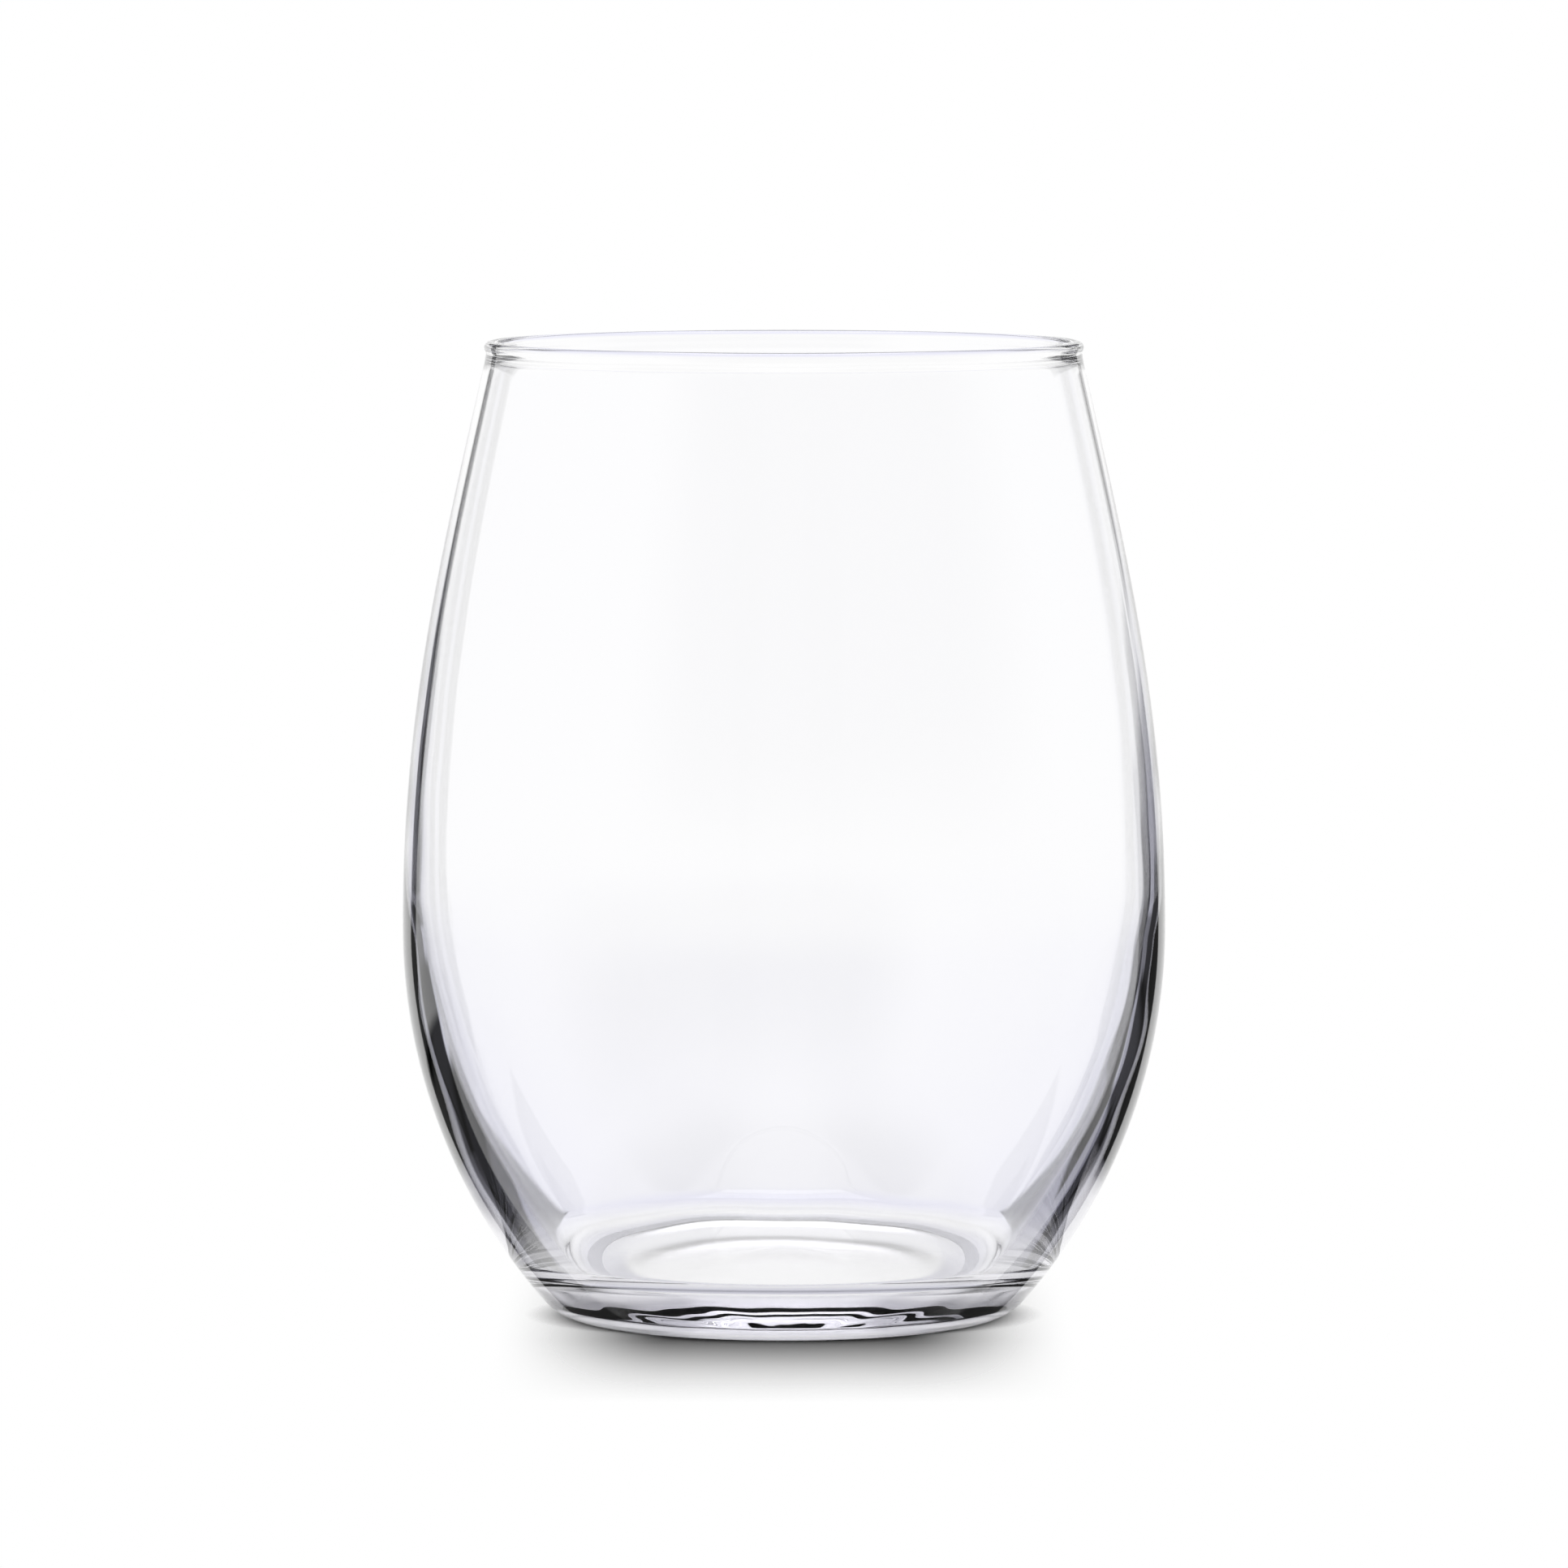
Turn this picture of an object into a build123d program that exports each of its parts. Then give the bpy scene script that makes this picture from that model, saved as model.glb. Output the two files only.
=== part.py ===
from build123d import *
import os
from math import atan2, cos, hypot, pi, sin, sqrt

# A stemless wine glass that stands on its foot ring, with its axis on Z and the foot plane at z = 0.
# It is one body of glass, made here as five zones that meet face to face. Sizes are in millimetres.

# Outside of the glass
glass_height = 114.3
belly_diameter = 89.3        # widest circle of the bowl
belly_height = 45.7
rim_diameter = 70.0          # outermost circle of the bead
foot_diameter = 47.8         # circle where the heel comes down onto the table
heel_radius = 5.8            # rounding between the foot and the lower wall
outer_belly_reach = 25.0     # how far the upper wall keeps the direction it has at the belly
outer_rim_reach = 25.1       # how far it keeps the direction it has at the rim
rim_lean = 0.23              # inward lean of the wall at the rim, per millimetre of height

# Lip, inside of the bowl and base
bead_diameter = 1.5          # thickness of the rounded lip
rim_wall = 0.9               # wall just below the lip
belly_wall = 1.8             # wall at the widest place inside
inner_belly_height = 50.5    # height of the widest place inside
inner_belly_reach = 23.2     # the two reaches again, on the inside of the upper wall
inner_rim_reach = 20.5
floor_height = 7.0           # glass under the middle of the bowl
floor_diameter = 48.2        # flat floor inside the bowl
floor_corner_radius = 5.0    # rounding between the floor and the lower wall

# Underside
foot_ring_width = 2.0        # flat ring that touches the table
foot_ring_height = 2.4
hollow_depth = 1.3           # hollow under the base, at the axis


def bead_centre():
    """Centre of the round lip in the half section, as radius and height."""
    bead_radius = bead_diameter / 2
    return rim_diameter / 2 - bead_radius, glass_height - bead_radius


def neck_point(side):
    """Where the wall meets the lip: side is 1 on the outside and -1 on the inside."""
    radius, height = bead_centre()
    half_wall = rim_wall / 2
    drop = sqrt((bead_diameter / 2) ** 2 - half_wall ** 2)
    return radius + side * half_wall, height - drop


def upper_wall(belly, neck, belly_reach, rim_reach):
    """Smooth wall line that leaves the belly straight up and reaches the neck with the rim's lean."""
    slant = hypot(1, rim_lean)
    lower_handle = (belly[0], belly[1] + belly_reach)
    upper_handle = (
        neck[0] + rim_reach * rim_lean / slant,
        neck[1] - rim_reach / slant,
    )
    return Bezier(belly, lower_handle, upper_handle, neck)


def lower_wall(belly, flat_radius, level, corner_radius):
    """Two arcs from the edge of a flat at this level up to the belly: a corner, then the wall."""
    across = belly[0] - flat_radius
    rise = belly[1] - level - corner_radius
    wall_radius = (across ** 2 + rise ** 2 - corner_radius ** 2) / (2 * (across - corner_radius))
    wall_centre = (belly[0] - wall_radius, belly[1])
    corner_centre = (flat_radius, level + corner_radius)
    meeting_angle = atan2(corner_centre[1] - wall_centre[1], corner_centre[0] - wall_centre[0])

    def on_arc(centre, radius, angle):
        return centre[0] + radius * cos(angle), centre[1] + radius * sin(angle)

    flat_edge = (flat_radius, level)
    meeting = on_arc(wall_centre, wall_radius, meeting_angle)
    corner_middle = on_arc(corner_centre, corner_radius, (meeting_angle - pi / 2) / 2)
    wall_middle = on_arc(wall_centre, wall_radius, meeting_angle / 2)
    return [
        ThreePointArc(flat_edge, corner_middle, meeting),
        ThreePointArc(meeting, wall_middle, belly),
    ]


def whole_glass():
    """The full body of glass, turned from its half section."""
    outer_belly = (belly_diameter / 2, belly_height)
    inner_belly = (belly_diameter / 2 - belly_wall, inner_belly_height)
    foot_radius = foot_diameter / 2
    ring_radius = foot_radius - foot_ring_width
    dome_radius = (ring_radius ** 2 + hollow_depth ** 2) / (2 * hollow_depth)
    dome_angle = atan2(ring_radius, dome_radius - hollow_depth) / 2
    dome_middle = (
        dome_radius * sin(dome_angle),
        hollow_depth - dome_radius * (1 - cos(dome_angle)),
    )
    outer_neck = neck_point(1)
    inner_neck = neck_point(-1)
    lip_top = (bead_centre()[0], glass_height)

    with BuildPart() as glass:
        with BuildSketch(Plane.XZ):
            with BuildLine():
                ThreePointArc((0, hollow_depth), dome_middle, (ring_radius, 0))
                Line((ring_radius, 0), (foot_radius, 0))
                lower_wall(outer_belly, foot_radius, 0, heel_radius)
                upper_wall(outer_belly, outer_neck, outer_belly_reach, outer_rim_reach)
                ThreePointArc(outer_neck, lip_top, inner_neck)
                upper_wall(inner_belly, inner_neck, inner_belly_reach, inner_rim_reach)
                lower_wall(inner_belly, floor_diameter / 2, floor_height, floor_corner_radius)
                Line((floor_diameter / 2, floor_height), (0, floor_height))
                Line((0, floor_height), (0, hollow_depth))
            make_face()
        revolve(axis=Axis.Z)
    return glass.part


def slab(bottom, top):
    """A round slab wider than the glass, between two heights."""
    return Pos(0, 0, bottom) * Cylinder(
        belly_diameter, top - bottom, align=(Align.CENTER, Align.CENTER, Align.MIN)
    )


def zones():
    """The glass divided at its floor, its belly and its neck, with the foot ring set apart."""
    glass = whole_glass()
    neck_height = neck_point(1)[1]
    ring_core = Cylinder(
        foot_diameter / 2 - foot_ring_width,
        foot_ring_height,
        align=(Align.CENTER, Align.CENTER, Align.MIN),
    )
    ring_space = slab(0, foot_ring_height) - ring_core
    bottom = glass & slab(0, floor_height)
    return {
        "rim_bead": glass & slab(neck_height, glass_height),
        "upper_bowl": glass & slab(belly_height, neck_height),
        "lower_bowl": glass & slab(floor_height, belly_height),
        "base": bottom - ring_space,
        "foot_ring": bottom & ring_space,
    }


os.makedirs("parts", exist_ok=True)
for name, zone in zones().items():
    export_step(zone, os.path.join("parts", name + ".step"))
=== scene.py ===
import math

import bmesh
import bpy
import numpy as np
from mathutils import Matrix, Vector


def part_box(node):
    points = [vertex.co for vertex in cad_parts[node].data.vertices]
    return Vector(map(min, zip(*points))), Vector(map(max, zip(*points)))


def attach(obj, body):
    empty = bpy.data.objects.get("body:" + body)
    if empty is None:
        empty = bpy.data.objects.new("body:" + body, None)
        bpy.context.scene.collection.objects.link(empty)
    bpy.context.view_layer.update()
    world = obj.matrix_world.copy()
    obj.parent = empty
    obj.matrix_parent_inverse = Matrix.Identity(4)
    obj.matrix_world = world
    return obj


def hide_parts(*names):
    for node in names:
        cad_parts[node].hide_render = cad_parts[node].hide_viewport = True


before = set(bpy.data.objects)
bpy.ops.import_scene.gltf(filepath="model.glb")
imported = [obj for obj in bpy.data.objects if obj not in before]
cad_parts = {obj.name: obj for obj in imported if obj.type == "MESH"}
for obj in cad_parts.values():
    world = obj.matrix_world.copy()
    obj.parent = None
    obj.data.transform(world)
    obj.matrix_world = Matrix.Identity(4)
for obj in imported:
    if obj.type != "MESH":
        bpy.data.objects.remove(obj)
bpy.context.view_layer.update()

# A stemless wine glass of clear glass, standing on a pale floor in front of a white background.
# Lengths are in metres, directions and elevations in degrees. Directions run to the right of +Y.
MM = 0.001

# Sizes of the glass that the frame gives
glass_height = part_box("rim_bead")[1].z
rim_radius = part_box("rim_bead")[1].x
belly_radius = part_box("lower_bowl")[1].x
belly_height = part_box("lower_bowl")[1].z
floor_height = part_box("base")[1].z

# The other sizes of its half section
foot_radius = 23.9 * MM
foot_ring_width = 2.0 * MM
hollow_depth = 1.3 * MM
heel_radius = 5.8 * MM
outer_belly_reach = 25.0 * MM
outer_rim_reach = 25.1 * MM
rim_lean = 0.23
bead_radius = 0.75 * MM
rim_wall = 0.9 * MM
lip_swelling = 0.9 * MM      # height over which the wall swells into the lip
belly_wall = 1.8 * MM
inner_belly_radius = belly_radius - belly_wall
inner_belly_height = 50.5 * MM
inner_belly_reach = 23.2 * MM
inner_rim_reach = 20.5 * MM
floor_radius = 24.1 * MM
floor_corner_radius = 5.0 * MM

# Mesh steps: round the axis, and along one curve or one straight run of the half section
STEPS_ROUND = 288
STEPS_CURVE = 60
STEPS_CORNER = 18
STEPS_RUN = 24
STEPS_RING = 6

# Unevenness of the blown glass: depth, waves round the axis, waves up the height, phase
WAVES = [
    (0.008 * MM, 3, 1.0, 0.4),
    (0.006 * MM, 5, -2.2, 1.9),
    (0.004 * MM, 11, 3.1, 4.0),
    (0.002 * MM, 17, -4.3, 2.7),
]
WAVES_TOP = 0.8 * glass_height         # the waves end here
WAVES_FADE = 0.5 * glass_height        # and fade out over this height below it
WAVES_MIDDLE = 0.6 * floor_radius      # they fade out towards the axis from here
WAVES_OUTSIDE = 0.35                   # share of them on the outside

# Glass: faint smears on the surface, a slightly matt underside, and a faint tint in thick places
GLASS_IOR = 1.52
SMEAR_SCALE = 60.0
SMEAR_DETAIL = 3.0
SMEAR_RANGE = (0.45, 0.8)
SMEAR_ROUGHNESS = 0.012
UNDERSIDE_ROUGHNESS = 0.2
UNDERSIDE_EDGE = 0.1 * MM
TINT_COLOUR = (0.72, 0.71, 0.77, 1.0)
TINT_DENSITY = 8.0

# Dark cards round the white background draw the dark lines in the glass. Each card has its first and last
# direction, its lowest and highest elevation, how far it leans outwards per degree below CARD_LEVEL, and
# how much light it takes away.
CARD_EDGE = 1.5
CARD_LEVEL = -8.0
CARDS_THROUGH_GLASS = [
    (20.0, 24.5, -1.5, 3.0, 0.0, 0.6),
    (15.8, 23.0, -17.0, -7.0, 0.26, 0.92),
    (17.0, 27.5, -22.0, -17.0, 0.0, 0.88),
    (17.5, 22.5, -26.0, -22.0, 0.0, 0.85),
    (29.6, 36.6, -23.0, -1.5, 0.2, 0.98),
    (29.5, 36.0, -28.5, -23.0, 0.0, 0.97),
    (24.3, 31.0, -17.0, -12.0, 0.3, 0.5),
    (-28.0, -23.0, -2.0, 6.0, 0.0, 0.98),
    (-32.0, -22.5, -7.0, -2.0, 0.0, 0.98),
    (-32.0, -22.5, -12.0, -8.5, 0.0, 0.8),
    (-28.0, -19.5, -17.0, -10.0, 0.0, 0.83),
    (-31.5, -19.5, -22.5, -17.0, 0.0, 0.95),
    (-36.0, -18.0, -31.0, -22.5, 0.0, 0.94),
    (-19.5, -11.0, -25.0, -20.5, 0.0, 0.85),
    (11.0, 18.0, -25.0, -20.5, 0.0, 0.8),
    (-46.0, -35.0, -26.0, -18.0, 0.0, 0.14),
    (-50.0, -19.5, 10.0, 22.0, 0.0, 0.97),
    (19.5, 50.0, 10.0, 22.0, 0.0, 0.97),
]
CARDS_IN_SURFACE = [
    (24.5, 44.0, -60.0, -1.0, 0.0, 0.95),
    (-31.5, -26.5, -12.0, 7.0, 0.0, 0.92),
    (19.5, 24.0, 1.5, 6.0, 0.0, 0.75),
    (-30.0, -8.0, 9.0, 26.0, 0.0, 0.95),
    (8.0, 30.0, 9.0, 26.0, 0.0, 0.95),
    (-46.0, -24.0, -60.0, -12.0, 0.0, 0.92),
]

WHITE = (1.0, 1.0, 1.0, 1.0)
BLACK = (0.0, 0.0, 0.0, 1.0)

# Zones of the background that show through the glass. A fade has the angles where it begins and ends. A band
# has the first and last angle where its zone is full, and how far the zone fades out before and after them.
LOW_TONE = (0.84, 0.84, 0.96, 1.0)             # a little darker and bluer downwards
LOW_RISE_FADE = (-28.0, -3.0)
SIDE_TONE = (0.56, 0.56, 0.66, 1.0)            # greyer low down on either side
SIDE_TURN_BAND = (19.0, 31.0, 9.5, 8.0)
SIDE_RISE_FADE = (-7.0, 0.0)
CORNER_TONE = (0.32, 0.32, 0.40, 1.0)          # dark in the low corners
CORNER_TURN_BAND = (16.0, 38.0, 3.0, 6.0)
CORNER_RISE_FADE = (-25.0, -20.0)
TABLE_TONE = (0.25, 0.25, 0.27, 1.0)           # the table, steeply below
TABLE_RISE_FADE = (-55.0, -45.0)
BEHIND_TONE = (0.20, 0.20, 0.23, 1.0)          # the dark room behind the camera and to its right
BEHIND_RIGHT_FADE = (80.0, 125.0)
BEHIND_LEFT_FADE = (-155.0, -125.0)
BEHIND_RISE_BAND = (8.0, 22.0, 14.0, 24.0)
TOP_TONE = (0.97, 0.97, 1.0, 1.0)              # the bright ceiling
TOP_RISE_FADE = (50.0, 60.0)
DARK_TONE = (0.04, 0.04, 0.05, 1.0)            # dark below the ceiling, to the sides and behind
DARK_TURN_BAND = (92.0, 135.0, 12.0, 40.0)
DARK_RISE_BAND = (52.0, 56.0, 16.0, 4.0)
ROOM_TONE = (0.62, 0.62, 0.68, 1.0)            # grey below the ceiling, straight ahead
ROOM_TURN_FADE = (25.0, 45.0)
ROOM_RISE_BAND = (46.0, 56.0, 4.0, 4.0)

# Light of the background on the floor: weak from the camera's side, full from behind the glass. The fade is
# along Y of the direction that it comes from.
FRONT_LIGHT = (0.1, 0.1, 0.1, 1.0)
BACK_LIGHT = WHITE
LIGHT_FADE = (-0.4, 0.6)

# The pale floor is a disc. It fades into the white background on all sides, and keeps the whole shadow close
# to the foot. Seen through the glass it is white, with a painted contact shadow: a grey ring over a band of
# radii under the foot ring.
DISC_RADIUS = 90 * MM
DISC_STEPS = 96
DISC_COLOUR = (0.95, 0.95, 0.95, 1.0)
FADE_BESIDE = (13 * MM, 34 * MM)
FADE_AHEAD = (-76 * MM, -24 * MM)
FADE_BEHIND = (18 * MM, 70 * MM)
CONTACT_WIDTH = 8 * MM
PAINTED_RING_SHADOW = (0.62, 0.62, 0.70, 1.0)
RING_BAND = (20 * MM, 23.5 * MM, 1.5 * MM, 5 * MM)

# Soft lamp above the glass
SOFTBOX_PLACE = (0.0, 0.15, 1.0)
SOFTBOX_SIZE = 0.6
SOFTBOX_WATTS = 2.0

# The camera stands in front of the glass and a little above its rim; shares are of the glass's height
CAMERA_BACK = 11.0873
CAMERA_UP = 1.4304
CAMERA_AIM = 0.5464
SENSOR_WIDTH = 36.0
LENS = 249.37

# Surfaces that light may pass on its way through the glass
LIGHT_BOUNCES = 24


def arc(centre, radius, start, end, steps):
    """Points of an arc in the half section, as rows of radius and height."""
    angle = np.linspace(start, end, steps)
    return np.column_stack([centre[0] + radius * np.cos(angle), centre[1] + radius * np.sin(angle)])


def straight(start, end, steps):
    """Points of a straight run."""
    share = np.linspace(0, 1, steps)[:, None]
    return np.array(start) * (1 - share) + np.array(end) * share


def bead_centre():
    """Centre of the round lip."""
    return rim_radius - bead_radius, glass_height - bead_radius


def neck_point(side):
    """Where the wall meets the lip: side is 1 on the outside and -1 on the inside."""
    radius, height = bead_centre()
    half_wall = rim_wall / 2
    return radius + side * half_wall, height - math.sqrt(bead_radius ** 2 - half_wall ** 2)


def upper_wall(belly, side, belly_reach, rim_reach):
    """Smooth wall line from the belly straight up, then with the rim's lean, swelling into the lip."""
    neck = neck_point(side)
    slant = math.hypot(1, rim_lean)
    handles = [
        belly,
        (belly[0], belly[1] + belly_reach),
        (neck[0] + rim_reach * rim_lean / slant, neck[1] - rim_reach / slant),
        neck,
    ]
    share = np.linspace(0, 1, STEPS_CURVE)[:, None]
    weights = [(1 - share) ** 3, 3 * share * (1 - share) ** 2, 3 * share ** 2 * (1 - share), share ** 3]
    wall = sum(weight * np.array(handle) for weight, handle in zip(weights, handles))
    below_lip = np.clip((bead_centre()[1] - wall[:, 1]) / lip_swelling, 0, 1)
    swell = 1 - below_lip ** 2 * (3 - 2 * below_lip)
    wall[:, 0] += side * swell * (bead_radius - rim_wall / 2)
    return wall


def lower_wall(belly, flat_radius, level, corner_radius):
    """Two arcs from the edge of a flat at this level up to the belly: a corner, then the wall."""
    across = belly[0] - flat_radius
    rise = belly[1] - level - corner_radius
    wall_radius = (across ** 2 + rise ** 2 - corner_radius ** 2) / (2 * (across - corner_radius))
    wall_centre = (belly[0] - wall_radius, belly[1])
    corner_centre = (flat_radius, level + corner_radius)
    meeting = math.atan2(corner_centre[1] - wall_centre[1], corner_centre[0] - wall_centre[0])
    corner = arc(corner_centre, corner_radius, -math.pi / 2, meeting, STEPS_CORNER)
    wall = arc(wall_centre, wall_radius, meeting, 0, STEPS_CURVE)
    return np.vstack([corner[:-1], wall])


def half_section():
    """The glass's half section, from the middle of its underside over the lip to the middle of its floor.

    Also gives the number of the first point on the inside."""
    ring_radius = foot_radius - foot_ring_width
    dome_radius = (ring_radius ** 2 + hollow_depth ** 2) / (2 * hollow_depth)
    dome_edge = math.pi / 2 - math.asin(ring_radius / dome_radius)
    dome = arc((0, hollow_depth - dome_radius), dome_radius, math.pi / 2, dome_edge, STEPS_RUN)
    ring = straight((ring_radius, 0), (foot_radius, 0), STEPS_RING)
    outer_belly = (belly_radius, belly_height)
    inner_belly = (inner_belly_radius, inner_belly_height)
    lip = arc(bead_centre(), bead_radius, 0, math.pi, STEPS_CORNER)
    outside = np.vstack([
        dome[:-1],
        ring[:-1],
        lower_wall(outer_belly, foot_radius, 0, heel_radius)[:-1],
        upper_wall(outer_belly, 1, outer_belly_reach, outer_rim_reach),
    ])
    inside = np.vstack([
        upper_wall(inner_belly, -1, inner_belly_reach, inner_rim_reach)[::-1],
        lower_wall(inner_belly, floor_radius, floor_height, floor_corner_radius)[::-1][1:],
        straight((floor_radius, floor_height), (0, floor_height), STEPS_RUN)[1:],
    ])
    return np.vstack([outside, lip, inside]), len(outside) + len(lip)


def unevenness(radius, height, inside):
    """Share of the waves that one ring of the mesh takes: most low inside, none at the lip and the foot."""
    fade_to_rim = np.clip((WAVES_TOP - height) / WAVES_FADE, 0, 1)
    fade_to_axis = np.clip(radius / WAVES_MIDDLE, 0, 1)
    above_foot = np.clip((height - hollow_depth) / heel_radius, 0, 1)
    return fade_to_rim * fade_to_axis * above_foot * (1.0 if inside else WAVES_OUTSIDE)


def mesh_object(name, mesh):
    """Puts a finished bmesh into the scene as an object."""
    data = bpy.data.meshes.new(name)
    mesh.to_mesh(data)
    mesh.free()
    piece = bpy.data.objects.new(name, data)
    bpy.context.scene.collection.objects.link(piece)
    return piece


def turned_glass(name):
    """The glass turned from its half section as one closed mesh, with its slight waves."""
    section, first_inside = half_section()
    slope = np.gradient(section, axis=0)
    length = np.hypot(slope[:, 0], slope[:, 1])
    normal = np.column_stack([slope[:, 1], -slope[:, 0]]) / length[:, None]
    angle = np.arange(STEPS_ROUND) * 2 * math.pi / STEPS_ROUND
    mesh = bmesh.new()
    rings = []
    for i in range(1, len(section) - 1):
        radius, height = section[i]
        share = unevenness(radius, height, i >= first_inside)
        climb = 2 * math.pi * height / belly_height
        wave = sum(depth * np.sin(turns * angle + up * climb + phase) for depth, turns, up, phase in WAVES)
        out = radius + normal[i, 0] * share * wave
        level = height + normal[i, 1] * share * wave
        ring = [
            mesh.verts.new((r * math.cos(a), r * math.sin(a), z))
            for r, z, a in zip(out, level, angle)
        ]
        rings.append(ring)
    bottom = mesh.verts.new((0, 0, section[0][1]))
    top = mesh.verts.new((0, 0, section[-1][1]))
    for k in range(STEPS_ROUND):
        after = (k + 1) % STEPS_ROUND
        mesh.faces.new((bottom, rings[0][after], rings[0][k]))
        mesh.faces.new((top, rings[-1][k], rings[-1][after]))
        for lower, upper in zip(rings, rings[1:]):
            mesh.faces.new((lower[k], lower[after], upper[after], upper[k]))
    for face in mesh.faces:
        face.smooth = True
    return mesh_object(name, mesh)


class Nodes:
    """Short ways to add and link the nodes of one node tree."""

    def __init__(self, tree):
        self.tree = tree
        self.tree.nodes.clear()

    def add(self, kind, **settings):
        node = self.tree.nodes.new(kind)
        for key, value in settings.items():
            setattr(node, key, value)
        return node

    def plug(self, value, socket):
        """Links a socket, or sets a plain value on it."""
        if isinstance(value, bpy.types.NodeSocket):
            self.tree.links.new(value, socket)
        else:
            socket.default_value = value

    def math(self, operation, *values):
        node = self.add("ShaderNodeMath", operation=operation)
        for value, socket in zip(values, node.inputs):
            self.plug(value, socket)
        return node.outputs[0]

    def both(self, first, second):
        """The share that two zones have in common."""
        return self.math("MULTIPLY", first, second)

    def split(self, vector):
        """The three coordinates of a vector."""
        node = self.add("ShaderNodeSeparateXYZ")
        self.plug(vector, node.inputs[0])
        return node.outputs

    def from_axis(self, x, y):
        """Distance from the axis of the glass."""
        squares = self.math("ADD", self.math("POWER", x, 2.0), self.math("POWER", y, 2.0))
        return self.math("SQRT", squares)

    def step(self, value, low, high, at_low, at_high, kind="SMOOTHSTEP"):
        """A change from at_low to at_high while value goes from low to high."""
        node = self.add("ShaderNodeMapRange", interpolation_type=kind)
        for given, socket in zip((value, low, high, at_low, at_high), node.inputs):
            self.plug(given, socket)
        return node.outputs[0]

    def rising(self, value, low, high, kind="SMOOTHSTEP"):
        """Zero below low and one above high."""
        return self.step(value, low, high, 0.0, 1.0, kind)

    def falling(self, value, low, high):
        """One below low and zero above high."""
        return self.step(value, low, high, 1.0, 0.0)

    def between(self, value, low, high, edge_low, edge_high):
        """One between low and high, and smoothly down to zero over an edge on either side."""
        return self.both(self.rising(value, low - edge_low, low), self.falling(value, high, high + edge_high))

    def blend(self, share, first, second):
        """A colour between two colours."""
        node = self.add("ShaderNodeMix", data_type="RGBA")
        self.plug(share, node.inputs["Factor"])
        self.plug(first, node.inputs[6])
        self.plug(second, node.inputs[7])
        return node.outputs[2]

    def blend_shaders(self, share, first, second):
        """A shader between two shaders."""
        node = self.add("ShaderNodeMixShader")
        for given, socket in zip((share, first, second), node.inputs):
            self.plug(given, socket)
        return node.outputs[0]


def clear_glass():
    """Clear soda-lime glass with its smears, its matt underside and its tint."""
    material = bpy.data.materials.new("clear_glass")
    material.use_nodes = True
    nodes = Nodes(material.node_tree)
    shader = nodes.add("ShaderNodeBsdfPrincipled")
    shader.inputs["Base Color"].default_value = WHITE
    shader.inputs["IOR"].default_value = GLASS_IOR
    shader.inputs["Transmission Weight"].default_value = 1.0

    place = nodes.add("ShaderNodeTexCoord").outputs["Object"]
    smears = nodes.add("ShaderNodeTexNoise")
    smears.inputs["Scale"].default_value = SMEAR_SCALE
    smears.inputs["Detail"].default_value = SMEAR_DETAIL
    nodes.plug(place, smears.inputs["Vector"])
    smeared = nodes.step(smears.outputs[0], *SMEAR_RANGE, 0.0, SMEAR_ROUGHNESS)
    x, y, z = nodes.split(place)
    below = nodes.step(z, hollow_depth, 2 * hollow_depth, UNDERSIDE_ROUGHNESS, 0.0)
    within = nodes.falling(nodes.from_axis(x, y), foot_radius - UNDERSIDE_EDGE, foot_radius + UNDERSIDE_EDGE)
    nodes.plug(nodes.math("ADD", smeared, nodes.both(below, within)), shader.inputs["Roughness"])

    tint = nodes.add("ShaderNodeVolumeAbsorption")
    tint.inputs["Color"].default_value = TINT_COLOUR
    tint.inputs["Density"].default_value = TINT_DENSITY
    output = nodes.add("ShaderNodeOutputMaterial")
    nodes.plug(shader.outputs[0], output.inputs["Surface"])
    nodes.plug(tint.outputs[0], output.inputs["Volume"])
    return material


def with_cards(nodes, turn, rise, tone, cards):
    """The tone with dark cards in front of it."""
    for first, last, lowest, highest, lean, strength in cards:
        above = nodes.math("SUBTRACT", rise, CARD_LEVEL)
        leaned = nodes.math("ADD", turn, nodes.math("MULTIPLY", above, lean))
        across = nodes.between(leaned, first, last, CARD_EDGE, CARD_EDGE)
        upright = nodes.between(rise, lowest, highest, CARD_EDGE, CARD_EDGE)
        cover = nodes.math("MULTIPLY", nodes.both(across, upright), strength)
        tone = nodes.blend(cover, tone, BLACK)
    return tone


def tone_through_glass(nodes, turn, rise):
    """What shows through the glass in each direction: white, with the darker zones and the cards."""
    sideways = nodes.math("ABSOLUTE", turn)
    tone = nodes.blend(nodes.falling(rise, *LOW_RISE_FADE), WHITE, LOW_TONE)
    side = nodes.both(nodes.between(sideways, *SIDE_TURN_BAND), nodes.falling(rise, *SIDE_RISE_FADE))
    tone = nodes.blend(side, tone, SIDE_TONE)
    corner = nodes.both(nodes.between(sideways, *CORNER_TURN_BAND), nodes.falling(rise, *CORNER_RISE_FADE))
    tone = nodes.blend(corner, tone, CORNER_TONE)
    tone = with_cards(nodes, turn, rise, tone, CARDS_THROUGH_GLASS)
    tone = nodes.blend(nodes.falling(rise, *TABLE_RISE_FADE), tone, TABLE_TONE)
    right = nodes.rising(turn, *BEHIND_RIGHT_FADE)
    left = nodes.falling(turn, *BEHIND_LEFT_FADE)
    behind = nodes.both(nodes.math("MAXIMUM", right, left), nodes.between(rise, *BEHIND_RISE_BAND))
    tone = nodes.blend(behind, tone, BEHIND_TONE)
    tone = nodes.blend(nodes.rising(rise, *TOP_RISE_FADE), tone, TOP_TONE)
    dark = nodes.both(nodes.between(sideways, *DARK_TURN_BAND), nodes.between(rise, *DARK_RISE_BAND))
    tone = nodes.blend(dark, tone, DARK_TONE)
    room = nodes.both(nodes.falling(sideways, *ROOM_TURN_FADE), nodes.between(rise, *ROOM_RISE_BAND))
    return nodes.blend(room, tone, ROOM_TONE)


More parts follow.
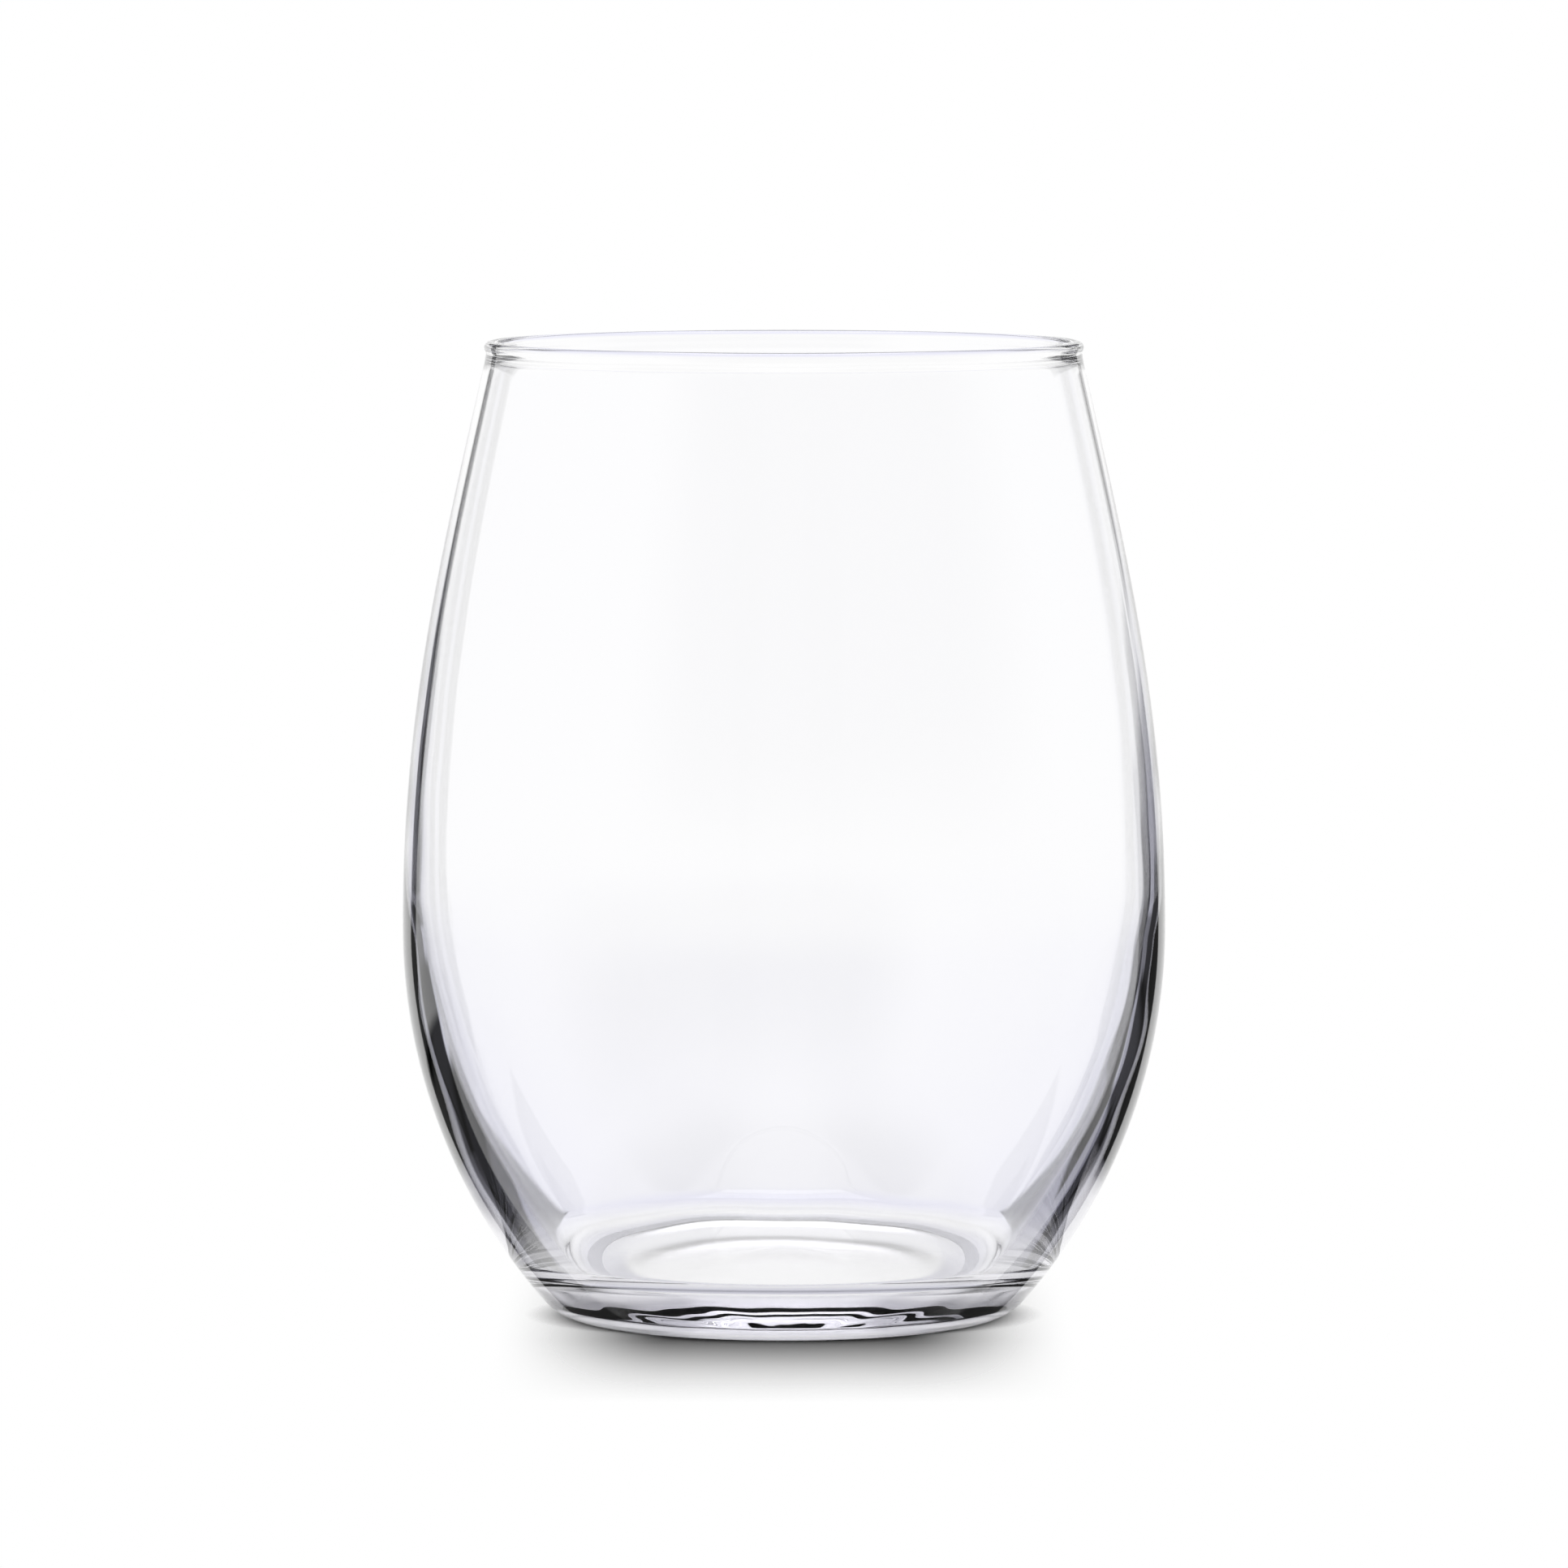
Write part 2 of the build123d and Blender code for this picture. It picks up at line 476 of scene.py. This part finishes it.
def studio_world():
    """White background with dark cards; the cards are seen in and through the glass only."""
    world = bpy.data.worlds.new("studio")
    bpy.context.scene.world = world
    world.use_nodes = True
    nodes = Nodes(world.node_tree)
    x, y, z = nodes.split(nodes.add("ShaderNodeTexCoord").outputs["Generated"])
    turn = nodes.math("DEGREES", nodes.math("ARCTAN2", x, y))
    rise = nodes.math("DEGREES", nodes.math("ARCSINE", z))
    tone = tone_through_glass(nodes, turn, rise)
    mirrored = with_cards(nodes, turn, rise, WHITE, CARDS_IN_SURFACE)
    floor_light = nodes.blend(nodes.rising(y, *LIGHT_FADE), FRONT_LIGHT, BACK_LIGHT)

    path = nodes.add("ShaderNodeLightPath")
    light = nodes.blend(path.outputs["Is Glossy Ray"], floor_light, mirrored)
    light = nodes.blend(path.outputs["Is Transmission Ray"], light, tone)
    light = nodes.blend(path.outputs["Is Camera Ray"], light, WHITE)
    background = nodes.add("ShaderNodeBackground")
    nodes.plug(light, background.inputs["Color"])
    output = nodes.add("ShaderNodeOutputWorld")
    nodes.plug(background.outputs[0], output.inputs["Surface"])


def floor_surface():
    """The floor keeps the shadow; through the glass it is white under the foot, and open beyond it."""
    material = bpy.data.materials.new("floor")
    material.use_nodes = True
    nodes = Nodes(material.node_tree)
    x, y = nodes.split(nodes.add("ShaderNodeTexCoord").outputs["Object"])[:2]
    radius = nodes.from_axis(x, y)

    matt = nodes.add("ShaderNodeBsdfDiffuse")
    matt.inputs["Color"].default_value = DISC_COLOUR
    beside = nodes.falling(nodes.math("ABSOLUTE", x), *FADE_BESIDE)
    along = nodes.both(nodes.rising(y, *FADE_AHEAD, "LINEAR"), nodes.falling(y, *FADE_BEHIND))
    contact = nodes.falling(radius, foot_radius, foot_radius + CONTACT_WIDTH)
    shadow = nodes.math("MAXIMUM", nodes.both(beside, along), contact)

    glow = nodes.add("ShaderNodeEmission")
    # painted contact shadow: a grey ring in the floor's white glow under the foot ring, seen through the
    # glass
    nodes.plug(nodes.blend(nodes.between(radius, *RING_BAND), WHITE, PAINTED_RING_SHADOW), glow.inputs["Color"])
    under_foot = nodes.falling(radius, foot_radius, belly_radius)

    through_glass = nodes.add("ShaderNodeLightPath").outputs["Is Transmission Ray"]
    seen = nodes.blend_shaders(through_glass, matt.outputs[0], glow.outputs[0])
    kept = nodes.add("ShaderNodeMix")
    nodes.plug(through_glass, kept.inputs["Factor"])
    nodes.plug(shadow, kept.inputs["A"])
    nodes.plug(under_foot, kept.inputs["B"])
    clear = nodes.add("ShaderNodeBsdfTransparent")
    output = nodes.add("ShaderNodeOutputMaterial")
    surface = nodes.blend_shaders(kept.outputs[0], clear.outputs[0], seen)
    nodes.plug(surface, output.inputs["Surface"])
    return material


def pale_floor():
    """The disc that the glass stands on."""
    mesh = bmesh.new()
    bmesh.ops.create_circle(mesh, cap_ends=True, segments=DISC_STEPS, radius=DISC_RADIUS)
    floor = mesh_object("floor", mesh)
    floor.data.materials.append(floor_surface())
    return floor


def put_facing_axis(holder, height):
    """Puts a lamp or a camera into the scene, turned to this height on the axis of the glass."""
    aim = Vector((0, 0, height)) - holder.location
    holder.rotation_euler = aim.to_track_quat("-Z", "Y").to_euler()
    bpy.context.scene.collection.objects.link(holder)


def softbox(name):
    """A square soft lamp that faces the middle of the glass."""
    lamp = bpy.data.lights.new(name, "AREA")
    lamp.size = SOFTBOX_SIZE
    lamp.energy = SOFTBOX_WATTS
    holder = bpy.data.objects.new(name, lamp)
    holder.location = SOFTBOX_PLACE
    put_facing_axis(holder, glass_height / 2)


def photo_camera():
    """The camera at the photograph's viewing angle."""
    lens = bpy.data.cameras.new("camera")
    lens.sensor_width = SENSOR_WIDTH
    lens.lens = LENS
    camera = bpy.data.objects.new("camera", lens)
    camera.location = (0, -CAMERA_BACK * glass_height, CAMERA_UP * glass_height)
    put_facing_axis(camera, CAMERA_AIM * glass_height)
    bpy.context.scene.camera = camera


scene = bpy.context.scene
scene.view_settings.view_transform = "Standard"
scene.cycles.max_bounces = LIGHT_BOUNCES
scene.cycles.transmission_bounces = LIGHT_BOUNCES
scene.cycles.glossy_bounces = LIGHT_BOUNCES
scene.cycles.caustics_refractive = False
scene.cycles.blur_glossy = 0.0

glass = turned_glass("wine_glass")
glass.data.materials.append(clear_glass())
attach(glass, "root")
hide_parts("rim_bead", "upper_bowl", "lower_bowl", "base", "foot_ring")

pale_floor()
studio_world()
softbox("top_softbox")
photo_camera()
